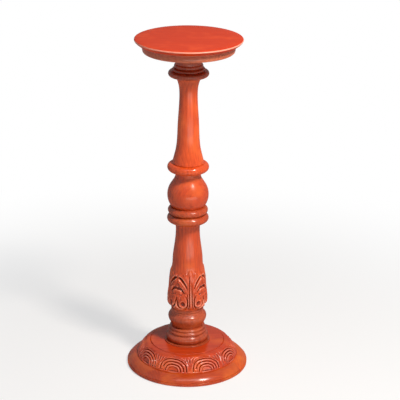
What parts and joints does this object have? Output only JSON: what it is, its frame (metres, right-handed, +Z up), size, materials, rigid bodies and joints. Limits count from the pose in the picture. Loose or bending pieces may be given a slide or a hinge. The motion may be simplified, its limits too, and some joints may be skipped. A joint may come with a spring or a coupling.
{
  "type": "pedestal column stand",
  "caption": "Round pedestal stand of lacquered wood: a disc top on a turned column with a ball and a leaf-carved vase, on a domed base with carved lunettes and a moulded rim.",
  "frame": {"origin": "on the floor under the column's axis, at the bottom centre of the bounding box", "axes": "+Z up along the column's axis of symmetry, -Y towards the picture's viewer, +X to the viewer's right"},
  "size_m": [0.3504, 0.3504, 0.975],
  "materials": {
    "mahogany": "turned mahogany under a glossy orange-red lacquer",
    "mahogany_carved": "carved mahogany, glossy red-brown lacquer, darker in the cuts",
    "bare_mahogany": "sanded and sealed, unpolished underside",
    "beech": "plain planed beech",
    "zinc_steel": "bright zinc plate",
    "felt": "dark brown pressed felt"
  },
  "bodies": {
    "root": {"top_board": "mahogany", "top_apron": "mahogany", "top_screws": "zinc_steel", "capital": "mahogany", "neck_dowel": "beech", "upper_shaft": "mahogany", "shaft_dowel": "beech", "ball_turning": "mahogany", "ring_collar": "mahogany", "collar_dowel": "beech", "carved_vase": "mahogany_carved", "foot_dowel": "beech", "baluster_foot": "mahogany", "hanger_bolt": "zinc_steel", "bolt_washer": "zinc_steel", "bolt_nut": "zinc_steel", "carved_plinth": "mahogany_carved", "rim_segment_1": "mahogany", "rim_segment_2": "mahogany", "rim_segment_3": "mahogany", "rim_segment_4": "mahogany", "rim_splines": "beech", "base_board": "bare_mahogany", "base_screws": "zinc_steel", "felt_pads": "felt"}
  },
  "joints": []
}
